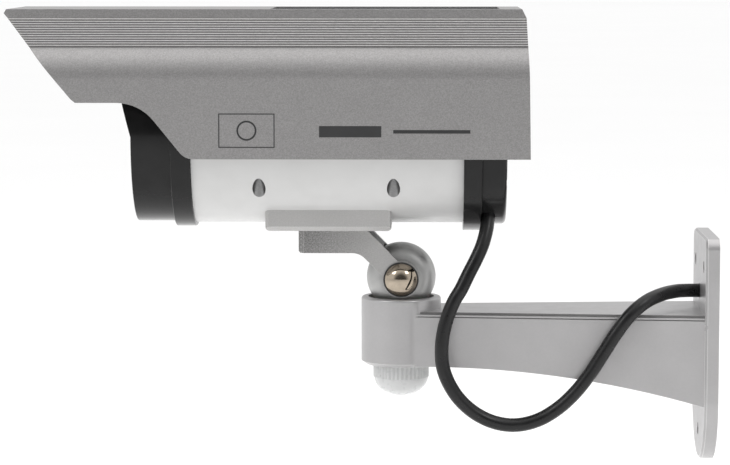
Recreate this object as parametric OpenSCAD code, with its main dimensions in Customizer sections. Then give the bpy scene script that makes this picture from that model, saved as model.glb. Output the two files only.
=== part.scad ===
// Solar-powered bullet camera on a wall bracket with a pan and tilt ball joint.
// The wall's surface is x = 0 and +X points into the wall. The camera looks along -X, and +Z is up.
// All lengths are in millimetres.

/* [Wall bracket] */
// Width of the wall plate
plate_w = 46; // [44:1:50]
// Height of the wall plate, half above and half below the arm's middle
plate_h = 79.6; // [76:0.2:84]
// Thickness of the wall plate
plate_t = 4.8; // [4.5:0.1:5.5]
// Radius of the three screw holes in the wall plate
screw_hole_r = 2.25; // [2:0.05:2.6]
// Distance between the two upper screw holes
upper_holes_apart = 29; // [26:0.5:32]
// Height of the upper screw holes above the plate's middle
upper_holes_z = 29.2; // [28:0.1:31]
// Distance of the lower screw hole below the plate's middle
lower_hole_z = 29.5; // [29.4:0.1:31]
// Height of the cable hole above the plate's middle
cable_hole_z = 19.5; // [19:0.1:21]
// Height of the arm's top face
arm_top_z = 13.2; // [12.5:0.1:14]
// Arm width beside the collar
arm_w_front = 26; // [25:0.5:26]
// Arm width at the wall plate
arm_w_back = 44; // [40:1:44]

/* [Pan and tilt joint] */
// Distance of the pan axis from the wall
pan_d = 109.5; // [108:0.5:111]
// Height of the ball's centre
ball_z = 24.3; // [24:0.1:25]
// Radius of the ball
ball_r = 12.1; // [11.9:0.1:12.2]
// Outer radius of the collar that holds the ball
collar_r = 14; // [13.8:0.1:14.5]
// Height of the collar's rim
collar_top_z = 17.4; // [17:0.1:17.6]
// Height of the collar's underside
collar_base_z = -6.5; // [-7:0.1:-6]
// Radius of the clamp knob
knob_r = 9.8; // [9:0.1:10.5]
// Number of ribs around the clamp knob
knob_ribs = 40; // [30:2:48]
// Radius of the tilt bolt's shank
bolt_r = 2.5; // [2.3:0.1:2.6]

/* [Camera body] */
// Height of the barrel's axis above the middle of the wall plate
axis_z = 75; // [75:0.5:76]
// Outer radius of the barrel
barrel_r = 31.5; // [31.4:0.1:31.6]
// Thickness of the barrel's wall
barrel_wall = 2; // [1.8:0.1:2]
// Distance of the barrel's front edge from the wall
barrel_front_d = 181; // [180.5:0.5:182]
// Distance of the barrel's rear edge from the wall
barrel_back_d = 88; // [87.5:0.5:88]
// Outer radius of the front hood
hood_r = 31; // [30.8:0.1:31.2]
// Outer radius of the rear flange
flange_r = 34.2; // [34:0.1:34.5]
// Outer radius of the rear cap
cap_r = 31.9; // [31.7:0.1:32.1]

/* [Sun visor] */
// Height of the visor's roof above the barrel's axis
roof_z = 43.4; // [43.2:0.1:44]
// Distance of the visor's front tip from the wall
visor_front_d = 245; // [243:0.5:248]
// Distance of the visor's rear edge from the wall
visor_back_d = 66; // [65:0.5:67]
// Half the width over the visor's side walls
visor_half_w = 37.5; // [37.3:0.1:38]
// Number of ribs along each shoulder
visor_ribs = 12; // [8:1:14]
// Length of the solar panel
panel_l = 78; // [70:1:80]
// Width of the solar panel
panel_w = 40; // [36:1:41]
// Number of solar cells in a row
cell_count = 8; // [4:1:10]

/* [Cable] */
// Radius of the cable
cable_r = 2.4; // [2.2:0.1:2.45]

/* [Hidden] */
$fn = 96;
eps = 0.01;

pan_x = -pan_d;
barrel_front = -barrel_front_d;
barrel_back = -barrel_back_d;

// Wall bracket
cable_hole_r = 2.6;
plate_corner_r = 4;
plate_edge = 0.8;
arm_start = pan_x + 4.6;
arm_dip_x = pan_x + 12;
arm_rise = 346;
deck_inset = 0.9;
lip_drop = 0.95;
lip_h = 0.55;
groove_h = 0.4;
groove_depth = 0.35;
cup_r = 11.6;
cup_floor = 8;
stud_r = 3;
stud_hole_r = 3.3;
washer_r = 8.5;
washer_t = 0.8;

// Fork and foot
flat_y = 7.9;
cheek_in = 8.05;
cheek_out = 11;
cheek_half_w = 3.7;
cheek_end_r = 6.4;
ball_gap = 0.5;
foot_front = -145.2;
foot_base = 33.5;
liner_t = 2.9;
liner_slot = 8;

// Saddle and body screws
saddle_front = -156.4;
saddle_back = -112.7;
saddle_half_w = 18;
saddle_base = axis_z - 33.2;
mount_screw_x = [-140, -128];
visor_screw_x = [-158, -112];
visor_screw_y = 25.9;
screw_seat = 4;

// Front hood and window, along X
hood_rim_r = 32.8;
hood_rim_front = barrel_front - 7;
hood_bottom_front = -201.5;
hood_top_front = -210;
spigot_r = 29.35;
window_front = -187.2;
window_back = -185.4;
board_front = -180.6;
board_back = -179;
led_stem = 1.9;

// Rear end, along X
flange_back = -81.9;
cap_front = -81.5;
cap_back = -73.2;
cap_cavity_r = 24.4;
cap_screw_ring = 28.2;
cable_exit_x = -79.4;
cable_exit_tilt = 28;

// Insides, heights are from the barrel's axis
tray_top = -10;
tray_t = 2;
cell_r = 7.1;
cell_y = 7.7;
pcb_top = -14;
pcb_t = 1.6;

// Visor section, as half widths and heights from the barrel's axis
roof_half_w = 24.6;
rib_top = [25, roof_z - 3.2];
rib_end = [31, roof_z - 12.8];
rib_depth = 0.45;
shoulder_r = 12;
shoulder_z = roof_z - 23.4;
skirt_z = -6.9;
skin = 2;
roof_t = 3;
pocket_depth = 1.8;
panel_front = -154;

// The cable runs from inside the rear cap, down beside the joint, round in a loop below the arm,
// up over the arm's edge and into the wall plate. Each row is a point of its centreline.
upper_route = [
    [-79.4, -9.2, 57.8],
    [-79.4, -12.0, 52.5],
    [-79.4, -14.8, 47.2],
    [-80.0, -17.4, 42.4],
    [-81.5, -19.8, 37.2],
    [-83.7, -21.4, 32.4],
    [-85.8, -22.4, 28.4],
    [-87.0, -23.0, 26.0]
];
lower_route = [
    [-87.0, -23.0, 26.0],
    [-88.8, -23.9, 22.4],
    [-91.2, -24.4, 18.4],
    [-93.4, -24.9, 13.0],
    [-94.9, -25.0, 7.0],
    [-95.4, -25.0, 1.0],
    [-94.8, -24.8, -5.0],
    [-92.4, -24.4, -11.0],
    [-88.6, -23.8, -16.4],
    [-83.2, -23.2, -21.0],
    [-76.6, -22.8, -24.0],
    [-69.4, -22.6, -24.8],
    [-62.0, -22.6, -23.0],
    [-55.2, -22.7, -18.9],
    [-49.2, -22.9, -13.2],
    [-44.2, -23.2, -6.6],
    [-39.8, -23.4, 0.4],
    [-35.4, -23.4, 7.4],
    [-30.6, -22.8, 13.6],
    [-25.2, -20.2, 17.8],
    [-19.4, -15.2, 19.8],
    [-13.8, -8.4, 20.2],
    [-9.4, -2.8, 19.8],
    [-5.2, 0, 19.5],
    [0, 0, 19.5]
];

// Helpers

function arc(cx, cy, r, from, to, n) =
    [for (i = [0:n]) let (a = from + (to - from) * i / n) [cx + r * cos(a), cy + r * sin(a)]];

function unit(v) = v / norm(v);

module x_cylinder(from, to, r) {
    translate([from, 0, 0]) rotate([0, 90, 0]) cylinder(h = to - from, r = r);
}

module y_cylinder(from, to, r) {
    translate([0, from, 0]) rotate([-90, 0, 0]) cylinder(h = to - from, r = r);
}

module z_cylinder(from, to, r) {
    translate([0, 0, from]) cylinder(h = to - from, r = r);
}

module x_ring(from, to, outer, inner) {
    difference() {
        x_cylinder(from, to, outer);
        x_cylinder(from - 1, to + 1, inner);
    }
}

// A flat outline in X and Z, made solid between two Y planes
module side_plate(from, to) {
    translate([0, to, 0]) rotate([90, 0, 0]) linear_extrude(to - from) children();
}

// A flat outline in Y and Z, made solid between two X planes
module section(from, to) {
    translate([from, 0, 0]) rotate([90, 0, 90]) linear_extrude(to - from) children();
}

module on_axis() {
    translate([0, 0, axis_z]) children();
}

module at_ball() {
    translate([pan_x, 0, ball_z]) children();
}

// A round tube swept along a route. Every ring stands square to the route, with its first
// corner turned from one ring to the next as little as the bend allows.
function directions(route) = [for (i = [0:len(route) - 1])
    unit(route[min(i + 1, len(route) - 1)] - route[max(i - 1, 0)])];

function level(v, d) = unit(v - (v * d) * d);

function sides(dirs, first) = [for (i = 0, s = level(first, dirs[0]); i < len(dirs);
    i = i + 1, s = i < len(dirs) ? level(s, dirs[i]) : s) s];

module tube(route, r, n, first) {
    dirs = directions(route);
    across = sides(dirs, first);
    rings = len(route);
    points = [for (i = [0:rings - 1]) for (k = [0:n - 1])
        route[i] + r * (cos(360 * k / n) * across[i] + sin(360 * k / n) * cross(dirs[i], across[i]))];
    walls = [for (i = [0:rings - 2]) for (k = [0:n - 1])
        let (a = i * n + k, b = i * n + (k + 1) % n) each [[a, b, a + n], [b, b + n, a + n]]];
    start_cap = [for (k = [1:n - 2]) [0, k + 1, k]];
    last = (rings - 1) * n;
    end_cap = [for (k = [1:n - 2]) [last, last + k, last + k + 1]];
    polyhedron(points = points, faces = [for (f = concat(walls, start_cap, end_cap)) [f[0], f[2], f[1]]]);
}

// Wall bracket

module plate_outline(inset) {
    w = plate_w / 2 - inset;
    h = plate_h / 2;
    corner = plate_corner_r - inset;
    polygon(concat(
        arc(w - corner, h - inset - corner, corner, 0, 90, 12),
        arc(-w + corner, h - inset - corner, corner, 90, 180, 12),
        arc(0, -h + plate_w / 2, w, 180, 360, 48)
    ));
}

module plate_slab(inset, from, to) {
    section(from, to) plate_outline(inset);
}

module wall_plate() {
    hull() {
        plate_slab(0, -plate_t + plate_edge, 0);
        plate_slab(plate_edge, -plate_t, -plate_t + plate_edge);
    }
}

// A layer of the arm, which widens towards the wall, a margin inside the arm's full width
module arm_prism(margin, low, high, overlap = 1) {
    hull() {
        for (end = [[arm_start, arm_w_front], [-plate_t + overlap, arm_w_back]])
            translate([end[0], margin - end[1] / 2, low]) cube([eps, end[1] - 2 * margin, high - low]);
    }
}

module under_arm() {
    translate([arm_dip_x, 0, -6 - arm_rise]) y_cylinder(-30, 30, arm_rise);
}

// The arm has a raised deck on top, and a groove along each side just below its lips
module arm_body() {
    lip_z = arm_top_z - lip_drop;
    groove_top = lip_z - lip_h;
    arm_prism(0, groove_top, lip_z);
    arm_prism(groove_depth, groove_top - groove_h - eps, groove_top + eps);
    arm_prism(0, -24, groove_top - groove_h);
    arm_prism(deck_inset, lip_z - eps, arm_top_z);
}

// Pockets that lighten the arm from below, between cross ribs
module arm_pockets() {
    rib = 2.5;
    wall = 3.2;
    count = 4;
    from = -91;
    to = -9;
    pitch = (to - from + rib) / count;
    intersection() {
        arm_prism(wall, -30, arm_top_z - wall, 0);
        for (i = [0:count - 1])
            translate([from + i * pitch, -30, -30]) cube([pitch - rib, 60, 60]);
    }
}

module collar_body() {
    rotate_extrude() polygon(concat(
        [[0, collar_base_z], [collar_r - 1.8, collar_base_z], [collar_r, collar_base_z + 1.2]],
        arc(collar_r - 0.9, collar_top_z - 0.9, 0.9, 0, 90, 6),
        [[0, collar_top_z]]
    ));
}

module wall_bracket() {
    color("#a9a7a8") difference() {
        union() {
            wall_plate();
            difference() {
                arm_body();
                under_arm();
                arm_pockets();
            }
            translate([pan_x, 0, 0]) collar_body();
        }
        translate([pan_x, 0, 0]) {
            z_cylinder(cup_floor, 30, cup_r);
            z_cylinder(-20, 20, stud_hole_r);
            z_cylinder(-20, collar_base_z + washer_t, washer_r + 0.1);
        }
        for (side = [-1, 1])
            translate([0, side * upper_holes_apart / 2, upper_holes_z]) x_cylinder(-10, 10, screw_hole_r);
        translate([0, 0, -lower_hole_z]) x_cylinder(-10, 10, screw_hole_r);
        translate([0, 0, cable_hole_z]) x_cylinder(-10, 10, cable_hole_r);
    }
}

module ball_seat() {
    color("#e4e2da") translate([pan_x, 0, 0]) difference() {
        z_cylinder(cup_floor, 14.6, cup_r - 0.1);
        z_cylinder(0, 30, stud_hole_r);
        translate([0, 0, ball_z]) sphere(r = ball_r + 0.3);
    }
}

module thrust_washer() {
    color("#d8d8d4") translate([pan_x, 0, 0]) difference() {
        z_cylinder(collar_base_z, collar_base_z + washer_t, washer_r);
        z_cylinder(-20, 20, stud_hole_r);
    }
}

module cable_lower() {
    color("#252525") tube(lower_route, cable_r, 12, [0, 1, 0]);
}

// Ball, stud and knob

module pivot_ball() {
    color("#a9a9a8") at_ball() difference() {
        intersection() {
            sphere(r = ball_r);
            cube([40, 2 * flat_y, 40], center = true);
        }
        y_cylinder(-20, 20, bolt_r + 0.05);
        z_cylinder(-20, -7.3, stud_r);
    }
}

module clamp_stud() {
    color("#b9b7ae") translate([pan_x, 0, 0]) z_cylinder(-14.5, ball_z - 7.3, stud_r);
}

module knob_rib_outline() {
    depth = 0.35;
    polygon([for (i = [0:2 * knob_ribs - 1]) let (a = 180 * i / knob_ribs, r = knob_r - (i % 2) * depth)
        [r * cos(a), r * sin(a)]]);
}

module clamp_knob() {
    top = collar_base_z - 0.1;
    rib_base = top - 4.6;
    tip = top - 11.3;
    dome = rib_base - tip;
    color("#d4d7d6") translate([pan_x, 0, 0]) difference() {
        union() {
            translate([0, 0, rib_base]) linear_extrude(top - rib_base) knob_rib_outline();
            translate([0, 0, rib_base]) rotate_extrude() polygon(concat(
                [[0, 0]],
                [for (i = [0:12]) let (a = i * 7.5) [(knob_r - 0.3) * cos(a), -dome * sin(a)]]
            ));
        }
        z_cylinder(-15, 0, stud_r + 0.2);
        translate([0, 0, top - 3.6]) cylinder(h = 10, r = 4.3, $fn = 6);
    }
}

module knob_insert() {
    top = collar_base_z - 0.2;
    color("#b8923f") translate([pan_x, 0, 0]) difference() {
        translate([0, 0, top - 3.4]) cylinder(h = 3.4, r = 4.2, $fn = 6);
        z_cylinder(-20, 0, stud_r + 0.05);
    }
}

// Sun visor

function rib_line(i) = rib_top + (rib_end - rib_top) * i / visor_ribs;

function rib_points() = let (along = unit(rib_end - rib_top), out = [-along[1], along[0]])
    [for (i = [0:visor_ribs - 1]) each [rib_line(i), rib_line(i + 0.5) + rib_depth * out]];

function outer_half() = concat(
    [[0, roof_z], [roof_half_w, roof_z]],
    rib_points(),
    arc(visor_half_w - shoulder_r, shoulder_z, shoulder_r, 62, 0, 12),
    [[visor_half_w, skirt_z]]
);

function inner_half() = concat(
    [[0, roof_z - roof_t], [roof_half_w - 0.5, roof_z - roof_t]],
    arc(visor_half_w - shoulder_r, shoulder_z, shoulder_r - skin, 62, 0, 12),
    [[visor_half_w - skin, skirt_z - 5]]
);

function mirrored(half) = concat(half, [for (i = [len(half) - 1:-1:1]) [-half[i][0], half[i][1]]]);

module visor_side_outline() {
    front = -visor_front_d;
    mid_z = 12.1;
    bend = 51;
    bend_r = 16;
    foot_r = 6;
    bend_x = -205.4;
    slope_top = [bend_x + bend_r * sin(bend), mid_z - bend_r * (1 - cos(bend))];
    foot_top = skirt_z + foot_r * (1 - cos(bend));
    foot_x = slope_top[0] + (slope_top[1] - foot_top) / tan(bend) + foot_r * sin(bend);
    polygon(concat(
        [[front, roof_z - 1.4], [front + 24.1, mid_z + 1.2], [front + 25.6, mid_z]],
        arc(bend_x, mid_z - bend_r, bend_r, 90, 90 - bend, 10),
        arc(foot_x, skirt_z + foot_r, foot_r, 270 - bend, 270, 8),
        [
            [-visor_back_d + 0.4, skirt_z], [-visor_back_d, 20], [-visor_back_d - 0.8, roof_z - 3],
            [-visor_back_d - 2.8, roof_z + 1], [front + 1.4, roof_z + 1]
        ]
    ));
}

module visor_post(x, y) {
    translate([x, y, 0]) difference() {
        z_cylinder(10, 40, 3.5);
        z_cylinder(9, 28, 1.5);
    }
}

module sun_visor() {
    color("#8f8d8d") on_axis() {
        difference() {
            union() {
                intersection() {
                    difference() {
                        section(-250, -60) polygon(mirrored(outer_half()));
                        section(-251, -59) polygon(mirrored(inner_half()));
                    }
                    side_plate(-45, 45) visor_side_outline();
                }
                intersection() {
                    for (x = visor_screw_x) for (side = [-1, 1]) visor_post(x, side * visor_screw_y);
                    section(-200, -60) polygon(mirrored([for (p = inner_half()) p + [0.2, 0.2]]));
                }
            }
            x_cylinder(-200, -60, barrel_r + 0.05);
            translate([panel_front - 0.3, -panel_w / 2 - 0.3, roof_z - pocket_depth])
                cube([panel_l + 0.6, panel_w + 0.6, 5]);
            translate([-98, 0, 0]) z_cylinder(30, 50, 1.5);
        }
    }
}

module visor_screws() {
    color("#c2c2bf") on_axis()
        for (x = visor_screw_x) for (side = [-1, 1]) translate([x, side * visor_screw_y, 0]) {
            z_cylinder(screw_seat - 2, screw_seat, 2.1);
            z_cylinder(screw_seat - eps, 26, 1.45);
        }
}

// Solar panel

module panel_layer(from, to, margin) {
    translate([panel_front + margin, -panel_w / 2 + margin, from])
        cube([panel_l - 2 * margin, panel_w - 2 * margin, to - from]);
}

panel_base = roof_z - pocket_depth + 0.05;
cells_base = panel_base + 0.8;
glass_base = cells_base + 0.3;

module solar_backing() {
    color("#1c2b23") on_axis() panel_layer(panel_base, cells_base, 0);
}

module solar_cells() {
    gap = 0.6;
    border = 2;
    pitch = (panel_l - 2 * border + gap) / cell_count;
    color("#141c38") on_axis()
        for (i = [0:cell_count - 1])
            translate([panel_front + border + i * pitch, -panel_w / 2 + border, cells_base])
                cube([pitch - gap, panel_w - 2 * border, 0.25]);
}

module panel_glass() {
    color("#9fb4c8", 0.5) on_axis() panel_layer(glass_base, roof_z - 0.05, 0);
}

// Barrel

module visor_screw_bores() {
    for (x = visor_screw_x) for (side = [-1, 1]) translate([x, side * visor_screw_y, 0]) {
        z_cylinder(-40, screw_seat, 2.25);
        z_cylinder(-40, 40, 1.6);
    }
}

module barrel() {
    color("#d5d5d3") on_axis() difference() {
        union() {
            x_ring(barrel_front, barrel_back, barrel_r, barrel_r - barrel_wall);
            intersection() {
                for (x = visor_screw_x) for (side = [-1, 1])
                    translate([x, side * visor_screw_y, 0]) z_cylinder(-40, 40, 3.6);
                x_cylinder(barrel_front, barrel_back, barrel_r);
            }
        }
        visor_screw_bores();
        for (x = mount_screw_x) translate([x, 0, 0]) z_cylinder(-40, 0, 2.1);
        translate([-98, 0, 0]) z_cylinder(0, 40, 1.7);
    }
}

// Front end

module hood_front_outline() {
    polygon([
        [hood_bottom_front, -40], [hood_bottom_front, 0], [hood_top_front, 31.5],
        [hood_top_front, 40], [-170, 40], [-170, -40]
    ]);
}

module front_hood() {
    color("#333434") on_axis() difference() {
        union() {
            intersection() {
                x_cylinder(-215, barrel_front, hood_r);
                side_plate(-45, 45) hood_front_outline();
            }
            x_cylinder(hood_rim_front, barrel_front, hood_rim_r);
            x_cylinder(hood_rim_front, barrel_front + 6, spigot_r);
        }
        x_cylinder(-220, -185, 28.8);
        x_cylinder(-190, -170, 26.3);
    }
}

module window_bezel() {
    color("#2a2b2b") on_axis() x_ring(window_front - 2, window_front, 28.7, 26.5);
}

module front_window() {
    color("#3a3f45", 0.4) on_axis() x_cylinder(window_front, window_back, 28.6);
}

module window_gasket() {
    color("#1b1b1b") on_axis() x_ring(window_back, -185, 28.5, 26.8);
}

module led_board() {
    color("#20342a") on_axis() x_ring(board_front, board_back, 26, 9.4);
}

module board_led(ring_r, angle, r) {
    rotate([angle, 0, 0]) translate([board_front, ring_r, 0]) {
        x_cylinder(-led_stem, 0, r);
        difference() {
            translate([-led_stem, 0, 0]) sphere(r = r, $fn = 24);
            x_cylinder(0, r, 2 * r);
        }
    }
}

module ir_leds() {
    outer_count = 18;
    inner_count = 12;
    color("#b9b4c6") on_axis() {
        for (i = [0:outer_count - 1]) board_led(21.4, i * 360 / outer_count, 2.4);
        for (i = [1:inner_count - 1]) board_led(14.4, 270 + i * 360 / inner_count, 2.4);
    }
}

module status_led() {
    color("#c8312b") on_axis() board_led(14.4, 270, 1.5);
}

module lens_housing() {
    color("#1d1d1e") on_axis() x_ring(-184.5, -166, 9.2, 6.7);
}

module lens_glass() {
    color("#3b4a66", 0.6) on_axis() intersection() {
        x_cylinder(-184, -176, 6.6);
        translate([-173.5, 0, 0]) sphere(r = 10.2);
    }
}

module lens_ring() {
    color("#26272a") on_axis() x_ring(-185.2, -184.5, 9.1, 5.9);
}

module sensor_board() {
    color("#1f3d2c") on_axis() translate([-166, -9, -9]) cube([1.2, 18, 18]);
}

// Insides

module inner_sled() {
    from = -174.9;
    ring_t = 2;
    tray_end = -97;
    color("#5b5e60") on_axis() {
        difference() {
            union() {
                x_ring(from, from + ring_t, spigot_r, 22);
                translate([from, -20, tray_top - tray_t]) cube([tray_end - from, 40, tray_t]);
                for (x = [-147, -109]) for (side = [-1, 1])
                    translate([x, side * 13, 0]) z_cylinder(pcb_top, tray_top - 1, 2);
            }
            x_cylinder(from - 1, -173, 9.8);
        }
    }
}

holder_front = -156;
holder_l = 58;

module battery_holder() {
    wall = 1.5;
    floor_t = 1.2;
    inner_half_w = 14.95;
    color("#222324") on_axis() difference() {
        translate([holder_front, -inner_half_w - wall, tray_top])
            cube([holder_l, 2 * (inner_half_w + wall), 14]);
        translate([holder_front + wall, -inner_half_w, tray_top + floor_t])
            cube([holder_l - 2 * wall, 2 * inner_half_w, 20]);
    }
}

module battery_cells() {
    color("#3f7f5a") on_axis() for (side = [-1, 1])
        translate([0, side * cell_y, tray_top + 1.3 + cell_r]) x_cylinder(-152, -102, cell_r);
}

module battery_contacts() {
    color("#c9c6bb") on_axis() for (side = [-1, 1])
        translate([0, side * cell_y, tray_top + 1.3 + cell_r]) {
            translate([-154.4, -5, -5]) cube([0.5, 10, 10]);
            x_cylinder(-153.9, -152, 3);
            translate([-100.1, -5, -5]) cube([0.5, 10, 10]);
            x_cylinder(-102, -100.1, 2.5);
        }
}

module control_board() {
    color("#1f4a30") on_axis() translate([-150, -16, pcb_top - pcb_t]) cube([44, 32, pcb_t]);
}

module board_parts() {
    base = pcb_top - pcb_t;
    color("#2b2b2d") on_axis() {
        translate([-138, -5, base - 1.4]) cube([10, 10, 1.4]);
        translate([-122, -10, base - 1.2]) cube([6, 5, 1.2]);
        translate([-120, 4, base - 1.2]) cube([5, 4, 1.2]);
        for (i = [0:3]) translate([-146, -9 + i * 4, base - 0.8]) cube([2, 1.2, 0.8]);
        translate([-111, 9, 0]) z_cylinder(base - 6, base, 3);
    }
}

module wire_pair(route, apart) {
    for (side = [-1, 1]) tube([for (p = route) p + [0, side * apart, 0]], 0.6, 8, [0, 1, 0]);
}

module solar_wires() {
    color("#a33030") on_axis() wire_pair([
        [-98, 0, panel_base], [-98, 0, 34], [-98, 0, 25], [-97, 0, 20], [-95.2, 0, 12],
        [-94.5, 0, 4], [-94.5, 0, -6], [-95.2, 0, -11], [-98, 0, -14], [-102, 0, -14.8], [-106, 0, -14.8]
    ], 0.75);
}

module led_wires() {
    color("#c8c23c") on_axis() wire_pair([
        [-150, 0, -14.8], [-154, 0, -14.8], [-160, 0, -16], [-168, 0, -17], [-174, 0, -17], [board_back, 0, -17]
    ], 1.2);
}

module battery_wires() {
    color("#b02f2f") on_axis() wire_pair([
        [-98, 0, -4], [-96.6, 0, -4], [-95.3, 0, -6.2], [-94.8, 0, -9.5],
        [-95.6, 0, -12.6], [-98.4, 0, -14.6], [-102, 0, -14.8], [-106, 0, -14.8]
    ], 12);
}

// Rear end

module cap_screw_places() {
    for (i = [0:2]) rotate([90 + 120 * i, 0, 0]) translate([0, cap_screw_ring, 0]) children();
}

module rear_flange() {
    color("#2f3030") on_axis() difference() {
        union() {
            x_cylinder(barrel_back, flange_back, flange_r);
            x_cylinder(barrel_back - 7, barrel_back + 1, spigot_r);
        }
        x_cylinder(-100, -70, 26.5);
        cap_screw_places() x_cylinder(-86.2, -80, 1.3);
    }
}

module cap_gasket() {
    color("#161616") on_axis() difference() {
        x_ring(flange_back, cap_front, 31.6, 26.7);
        cap_screw_places() x_cylinder(-90, -70, 1.8);
        at_cable_exit() z_cylinder(22, 40, cable_r + 0.15);
    }
}

// A place on the line where the cable leaves the cap, with Z along that line, away from the axis
module at_cable_exit() {
    translate([cable_exit_x, 0, 0]) rotate([180 - cable_exit_tilt, 0, 0]) children();
}

module rear_cap() {
    edge_r = 1.5;
    color("#2f3030") on_axis() difference() {
        union() {
            translate([cap_front, 0, 0]) rotate([0, 90, 0]) rotate_extrude() polygon(concat(
                [[0, 0], [cap_r, 0]],
                arc(cap_r - edge_r, cap_back - cap_front - edge_r, edge_r, 0, 90, 8),
                [[0, cap_back - cap_front]]
            ));
            x_cylinder(-85, cap_front + 1, 26.4);
        }
        x_cylinder(-90, -75.8, cap_cavity_r);
        cap_screw_places() {
            x_cylinder(-90, -70, 1.6);
            x_cylinder(-75.4, -70, 2.9);
        }
        at_cable_exit() {
            z_cylinder(22, 40, cable_r + 0.15);
            translate([-6, -cable_r - 0.15, 22]) cube([6, 2 * (cable_r + 0.15), 20]);
        }
    }
}

module cap_screws() {
    color("#8c8c88") on_axis() cap_screw_places() {
        x_cylinder(-75.35, -73.8, 2.7);
        x_cylinder(-86, -75.35, 1.25);
    }
}

module cable_grommet() {
    color("#1b1b1b") on_axis() at_cable_exit() difference() {
        z_cylinder(20.4, 23.9, 3.05);
        z_cylinder(19, 26, cable_r + 0.02);
    }
}

module cable_upper() {
    color("#252525") tube(upper_route, cable_r, 12, [0, 1, 0]);
}

// Saddle, foot and fork

// The saddle's sections: its lower corners are round seen from the side, and cut off seen from the end
module saddle_outline(from, to, corner, steps) {
    polygon(concat(
        [[from, axis_z - 20]],
        arc(from + corner, saddle_base + corner, corner, 180, 270, steps),
        arc(to - corner, saddle_base + corner, corner, 270, 360, steps),
        [[to, axis_z - 20]]
    ));
}

module saddle_plate() {
    edge = 1.6;
    corner_r = 1.5;
    color("#aeadab") difference() {
        intersection() {
            side_plate(-30, 30) saddle_outline(saddle_front, saddle_back, edge, 6);
            section(-170, -100) saddle_outline(-saddle_half_w, saddle_half_w, edge, 1);
            translate([0, 0, 30]) linear_extrude(40) polygon(concat(
                arc(saddle_back - corner_r, saddle_half_w - corner_r, corner_r, 0, 90, 6),
                arc(saddle_front + corner_r, saddle_half_w - corner_r, corner_r, 90, 180, 6),
                arc(saddle_front + corner_r, -saddle_half_w + corner_r, corner_r, 180, 270, 6),
                arc(saddle_back - corner_r, -saddle_half_w + corner_r, corner_r, 270, 360, 6)
            ));
        }
        on_axis() x_cylinder(-170, -100, barrel_r);
        for (x = mount_screw_x) translate([x, 0, 0]) z_cylinder(20, 60, 2.1);
    }
}

module mount_screws() {
    color("#b5b5b2") for (x = mount_screw_x) translate([x, 0, 0]) {
        z_cylinder(axis_z - 29.1, axis_z - 26.8, 3.4);
        z_cylinder(saddle_base - 6, axis_z - 29.1 + eps, 1.95);
    }
}

// The foot's side view: a block under the saddle that turns down at 45 degrees to the ball
module foot_outline() {
    reach = cheek_half_w * sqrt(2);
    bend_r = 6;
    bend = 45;
    back = bend_r * tan(bend / 2);
    corner_x = pan_x - reach - (foot_base - ball_z);
    polygon(concat(
        [[foot_front, foot_base + 0.6], [foot_front + 0.6, foot_base]],
        arc(corner_x - back, foot_base - bend_r, bend_r, 90, 90 - bend, 8),
        [
            [pan_x - reach / 2, ball_z - reach / 2],
            [pan_x + reach / 2, ball_z + reach / 2],
            [pan_x + reach - (saddle_base - ball_z), saddle_base],
            [foot_front, saddle_base]
        ]
    ));
}

module fork_frame() {
    at_ball() rotate([0, -45, 0]) children();
}

module foot_bracket() {
    edge = 1.8;
    color("#a3a2a1") difference() {
        union() {
            intersection() {
                side_plate(-cheek_out, cheek_out) foot_outline();
                translate([0, 0, 10]) linear_extrude(40) polygon([
                    [foot_front, -cheek_out + edge], [foot_front + edge, -cheek_out], [-90, -cheek_out],
                    [-90, cheek_out], [foot_front + edge, cheek_out], [foot_front, cheek_out - edge]
                ]);
            }
            at_ball() y_cylinder(-cheek_out, cheek_out, cheek_end_r);
        }
        at_ball() {
            y_cylinder(-cheek_in, cheek_in, ball_r + ball_gap);
            y_cylinder(-20, 20, bolt_r + 0.02);
        }
        fork_frame() translate([cheek_half_w - liner_t - 0.1, -liner_slot, 5]) cube([10, 2 * liner_slot, 60]);
        for (x = mount_screw_x) translate([x, 0, 0]) z_cylinder(saddle_base - 6.1, 60, 2);
    }
}

module fork_liner() {
    color("#181818") intersection() {
        difference() {
            fork_frame() translate([cheek_half_w - liner_t, -flat_y, 0]) cube([liner_t, 2 * flat_y, 60]);
            at_ball() y_cylinder(-20, 20, ball_r + ball_gap);
        }
        translate([-160, -20, 0]) cube([100, 40, saddle_base - 0.02]);
    }
}

module pivot_bolt() {
    dome_r = 5.7;
    dome_h = 3.2;
    round_r = (dome_r * dome_r + dome_h * dome_h) / (2 * dome_h);
    seat = -cheek_out - 0.6;
    color("#b9b2a8") at_ball() {
        y_cylinder(seat - eps, cheek_out + 5.4, bolt_r);
        intersection() {
            translate([0, seat - dome_h + round_r, 0]) sphere(r = round_r);
            y_cylinder(seat - 10, seat, dome_r);
        }
    }
}

module pivot_washers() {
    color("#141414") at_ball() difference() {
        for (side = [-1, 1]) translate([0, side * (cheek_out + 0.3), 0]) y_cylinder(-0.3, 0.3, 6.1);
        y_cylinder(-20, 20, bolt_r + 0.02);
    }
}

module pivot_nut() {
    color("#bcbab4") at_ball() difference() {
        translate([0, cheek_out + 0.6, 0]) rotate([-90, 0, 0]) cylinder(h = 4.2, r = 5.1, $fn = 6);
        y_cylinder(-20, 20, bolt_r + 0.02);
    }
}

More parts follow.
